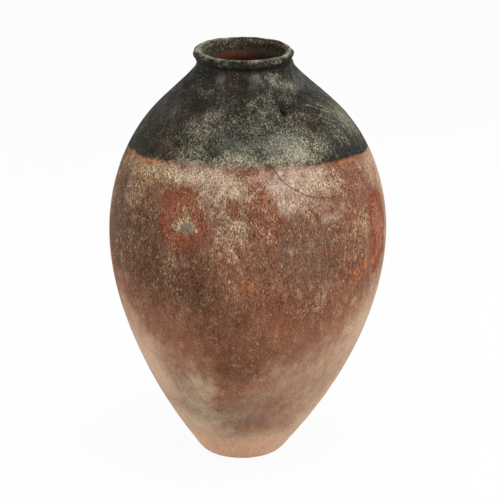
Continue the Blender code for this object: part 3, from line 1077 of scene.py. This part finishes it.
def burnished_skin(tree, rgba):
    """Burnished earthenware: iron-red slip rubbed with a pebble, carbonised at the top and long buried.

    The eye gets a dull sheen, fine upright burnishing streaks, blotches from the fire and silt in the pores,
    with painted sheen on the black, painted shade in the rim's crease and the chip, and painted light on the
    bead's top and along the limbs.
    """
    patterns = noise_patterns(tree, PATTERNS)
    share = {"Value": patterns["cloud"], "From Min": 0.35, "From Max": 0.65}
    share = add_node(tree, "MapRange", "Result", share)
    slips = {"Factor_Float": share, "A_Color": rgba["slip_deep"], "B_Color": rgba["slip"]}
    red = add_node(tree, "Mix", "Result_Color", slips, data_type="RGBA")
    red = lay_all(tree, red, RED_LAYERS, rgba, patterns)
    soots = {"Factor_Float": share, "A_Color": rgba["soot"], "B_Color": rgba["soot_grey"]}
    black = add_node(tree, "Mix", "Result_Color", soots, data_type="RGBA")
    black = lay_all(tree, black, BLACK_LAYERS, rgba, patterns)
    crack = add_node(tree, "Attribute", "Fac", attribute_name="crack_mm")
    crack = add_node(tree, "Math", "Value", {"Value": crack}, operation="ABSOLUTE")
    colour = lay_all(tree, red, SKIN_LAYERS, {**rgba, "black": black}, {**patterns, "crack": crack})

    # The burnish is stronger on the weathered upper body, which is duller too.
    tone = 1.0
    for name, low, high, darkest, lightest in BURNISH:
        span = {"From Min": low, "From Max": high, "To Min": darkest, "To Max": lightest}
        shade = add_node(tree, "MapRange", "Result", {"Value": patterns[name], **span})
        tone = add_node(tree, "Math", "Value", {"Value": tone, "Value_001": shade}, operation="MULTIPLY")
    weathered = add_node(tree, "Attribute", "Fac", attribute_name="weathered")
    share = add_node(tree, "MapRange", "Result", {"Value": weathered, "To Min": LOW_BURNISH})
    toned = {"Factor_Float": share, "A_Color": colour, "B_Color": tone}
    colour = add_node(tree, "Mix", "Result_Color", toned, data_type="RGBA", blend_type="MULTIPLY")
    dullness = {"Value": weathered, "Value_001": DULLING, "Value_002": patterns["mottle"]}
    dullness = add_node(tree, "Math", "Value", dullness, operation="MULTIPLY_ADD")
    roughness = {"Value": dullness, "From Min": 0.4, "From Max": 1.1, "To Min": 0.42, "To Max": 0.78}
    height = {"Value": patterns["grain"], "Value_001": patterns["streak"]}
    height = add_node(tree, "Math", "Value", height)
    bump = {"Strength": 0.35, "Distance": BURNISH_RELIEF, "Height": height}
    return {
        "Base Color": colour,
        "Roughness": add_node(tree, "MapRange", "Result", roughness),
        "Normal": add_node(tree, "Bump", "Normal", bump),
        "IOR": 1.5,
        "Specular IOR Level": 0.07,
    }


def wiped_inside(tree, rgba):
    """Wiped bare clay: the unburnished inside, sooty and dusty at the mouth and red-brown further down."""
    patterns = noise_patterns(tree, ("silt", "blotch", "fleck"))
    return {"Base Color": lay_all(tree, rgba["mouth"], INSIDE_LAYERS, rgba, patterns), "Roughness": 0.8}


def clay_core(tree, rgba):
    """Low-fired clay core: a grainy grey-brown, seen only where a course is lifted off its bed."""
    grain = noise_patterns(tree, ("fleck",))["fleck"]
    mixed = {"Factor_Float": grain, "A_Color": rgba["core"], "B_Color": rgba["slip"]}
    return {"Base Color": add_node(tree, "Mix", "Result_Color", mixed, data_type="RGBA"), "Roughness": 0.9}


# The jar's materials, in the order of SKIN, INSIDE and BED, and what gives each its surface.
FINISHES = {
    "burnished_earthenware": burnished_skin,
    "wiped_inside_clay": wiped_inside,
    "grey_clay_core": clay_core,
}


def jar_materials():
    """The jar's materials, made when they are first asked for."""
    for name, surface in FINISHES.items():
        if name not in bpy.data.materials:
            tree = new_material(name).node_tree
            colours = bpy.context.scene.jar_colours
            rgba = {colour: (*getattr(colours, colour), 1.0) for colour in JarColours.__annotations__}
            shader = add_node(tree, "BsdfPrincipled", "BSDF", surface(tree, rgba))
            add_node(tree, "OutputMaterial", None, {"Surface": shader})
    return [bpy.data.materials[name] for name in FINISHES]


class JAR_OT_base_pad(bpy.types.Operator):
    """Builds the base pad's skin, underside and bowl"""

    bl_idname = "jar.base_pad"
    bl_label = "Base pad"

    def execute(self, context):
        build_base_pad(context)
        return {"FINISHED"}


class JAR_OT_wall_courses(bpy.types.Operator):
    """Builds the courses of the lower wall and the belly"""

    bl_idname = "jar.wall_courses"
    bl_label = "Wall courses"

    def execute(self, context):
        build_courses(context, "wall_course")
        return {"FINISHED"}


class JAR_OT_shoulder_courses(bpy.types.Operator):
    """Builds the blackened courses that close the jar in"""

    bl_idname = "jar.shoulder_courses"
    bl_label = "Shoulder courses"

    def execute(self, context):
        build_courses(context, "shoulder_course")
        return {"FINISHED"}


class JAR_OT_neck_collar(bpy.types.Operator):
    """Builds the course that turns up into the neck"""

    bl_idname = "jar.neck_collar"
    bl_label = "Neck collar"

    def execute(self, context):
        build_courses(context, NECK_COLLAR)
        return {"FINISHED"}


class JAR_OT_rim_roll(bpy.types.Operator):
    """Builds the rolled rim"""

    bl_idname = "jar.rim_roll"
    bl_label = "Rolled rim"

    def execute(self, context):
        build_rim(context)
        return {"FINISHED"}


# The stage: sizes in metres, and how far the floor glows and the sky lights the jar.
WHITE = (1.0, 1.0, 1.0, 1.0)
FLOOR_RADIUS = 6.0
FLOOR_CORNERS = 96
FLOOR_DROP = 0.2 * MM
FLOOR_GLOW = 0.94
SKY_LIGHT = 0.42

CAMERA_DISTANCE = 3.2106
CAMERA_ELEVATION = math.radians(18.45)
CAMERA_TARGET = Vector((4.9 * MM, 0.0, 0.201))
CAMERA_LENS_MM = 241.9
CAMERA_SENSOR_MM = 36.0

# Lamps of the studio: place, size in metres and power in watts. They aim at the axis, at or below the belly.
Lamp = namedtuple("Lamp", "name place size power")
LAMP_AIM_HEIGHT = 0.2
LAMPS = (
    Lamp("key_right", (1.3, -1.2, 1.2), 0.9, 8.0),
    Lamp("fill_left", (-1.5, -0.9, 0.9), 0.9, 2.5),
    Lamp("top", (0.2, -0.3, 2.2), 1.6, 20.0),
    Lamp("rim_right", (0.9, 0.5, 0.5), 0.6, 4.0),
    Lamp("rim_left", (-0.8, 0.4, 0.12), 0.4, 2.4),
    Lamp("foot_front", (0.1, -0.7, 0.05), 0.3, 1.1),
    Lamp("foot_left", (-0.6, -0.25, 0.05), 0.3, 1.2),
    Lamp("foot_right", (0.6, -0.25, 0.05), 0.3, 1.0),
)


def add_rig(scene, data, place, target):
    """Adds a lamp or the camera at a place, turned to a target."""
    rig = bpy.data.objects.new(data.name, data)
    scene.collection.objects.link(rig)
    rig.location = place
    rig.rotation_euler = (Vector(target) - Vector(place)).to_track_quat("-Z", "Y").to_euler()
    return rig


def background_ray(tree):
    """1 for rays that show the background: those of the camera, of reflections and of clear materials."""
    seen = 0.0
    for flag in ("Is Camera Ray", "Is Glossy Ray", "Is Transmission Ray"):
        rays = {"Value": seen, "Value_001": add_node(tree, "LightPath", flag)}
        seen = add_node(tree, "Math", "Value", rays, operation="MAXIMUM")
    return seen


def build_floor(context):
    """A plain pale floor that glows white to the camera and keeps a little of the jar's shadow."""
    material = new_material("pale_floor")
    tree = material.node_tree
    paint = {"Color": (*context.scene.jar_colours.floor, 1.0)}
    share = {"Value": background_ray(tree), "Value_001": FLOOR_GLOW}
    mix = {
        "Fac": add_node(tree, "Math", "Value", share, operation="MULTIPLY"),
        "Shader": add_node(tree, "BsdfDiffuse", "BSDF", paint),
        "Shader_001": add_node(tree, "Emission", "Emission", {"Color": WHITE, "Strength": 1.0}),
    }
    mix = add_node(tree, "MixShader", "Shader", mix)
    add_node(tree, "OutputMaterial", None, {"Surface": mix})
    bpy.ops.mesh.primitive_circle_add(
        vertices=FLOOR_CORNERS, radius=FLOOR_RADIUS, fill_type="NGON", location=(0, 0, -FLOOR_DROP)
    )
    floor = context.object
    floor.name = "floor"
    floor.data.materials.append(material)


def build_light(scene):
    """A white sky that lights the jar at less than it shows, and the lamps of the studio."""
    world = bpy.data.worlds.new("studio")
    scene.world = world
    world.use_nodes = True
    tree = world.node_tree
    tree.nodes.clear()
    strength = {"Value": background_ray(tree), "To Min": SKY_LIGHT, "To Max": 1.0}
    sky = {"Color": WHITE, "Strength": add_node(tree, "MapRange", "Result", strength)}
    sky = add_node(tree, "Background", "Background", sky)
    add_node(tree, "OutputWorld", None, {"Surface": sky})
    for lamp in LAMPS:
        data = bpy.data.lights.new(lamp.name, "AREA")
        data.size = lamp.size
        data.energy = lamp.power
        target = (0.0, 0.0, min(LAMP_AIM_HEIGHT, lamp.place[2]))
        add_rig(scene, data, lamp.place, target).visible_camera = False


def build_camera(scene):
    """The camera of the photograph: far off, looking down on the jar."""
    data = bpy.data.cameras.new("camera")
    data.lens = CAMERA_LENS_MM
    data.sensor_width = CAMERA_SENSOR_MM
    back = Vector((0.0, -math.cos(CAMERA_ELEVATION), math.sin(CAMERA_ELEVATION)))
    scene.camera = add_rig(scene, data, CAMERA_TARGET + CAMERA_DISTANCE * back, CAMERA_TARGET)


class JAR_OT_stage(bpy.types.Operator):
    """Builds the floor, the studio light and the camera"""

    bl_idname = "jar.stage"
    bl_label = "Stage"

    def execute(self, context):
        context.scene.view_settings.view_transform = "Standard"
        build_floor(context)
        build_light(context.scene)
        build_camera(context.scene)
        return {"FINISHED"}


class JAR_PT_sidebar(bpy.types.Panel):
    """Sizes, colours and pieces of the jar"""

    bl_idname = "JAR_PT_sidebar"
    bl_label = "Black-topped jar"
    bl_space_type = "VIEW_3D"
    bl_region_type = "UI"
    bl_category = "Jar"

    def draw(self, context):
        layout = self.layout
        for group in (context.scene.jar_form, context.scene.jar_colours):
            box = layout.box()
            for name in type(group).__annotations__:
                box.prop(group, name)
        for operator in OPERATORS:
            layout.operator(operator.bl_idname)


OPERATORS = (
    JAR_OT_base_pad,
    JAR_OT_wall_courses,
    JAR_OT_shoulder_courses,
    JAR_OT_neck_collar,
    JAR_OT_rim_roll,
    JAR_OT_stage,
)
CLASSES = (JarForm, JarColours, *OPERATORS, JAR_PT_sidebar)


def register():
    for cls in CLASSES:
        bpy.utils.register_class(cls)
    bpy.types.Scene.jar_form = PointerProperty(type=JarForm)
    bpy.types.Scene.jar_colours = PointerProperty(type=JarColours)


def unregister():
    del bpy.types.Scene.jar_colours
    del bpy.types.Scene.jar_form
    for cls in reversed(CLASSES):
        bpy.utils.unregister_class(cls)


def main():
    """Registers the add-on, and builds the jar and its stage."""
    register()
    bpy.ops.jar.base_pad()
    bpy.ops.jar.wall_courses()
    bpy.ops.jar.shoulder_courses()
    bpy.ops.jar.neck_collar()
    bpy.ops.jar.rim_roll()
    bpy.ops.jar.stage()


if __name__ == "__main__":
    main()
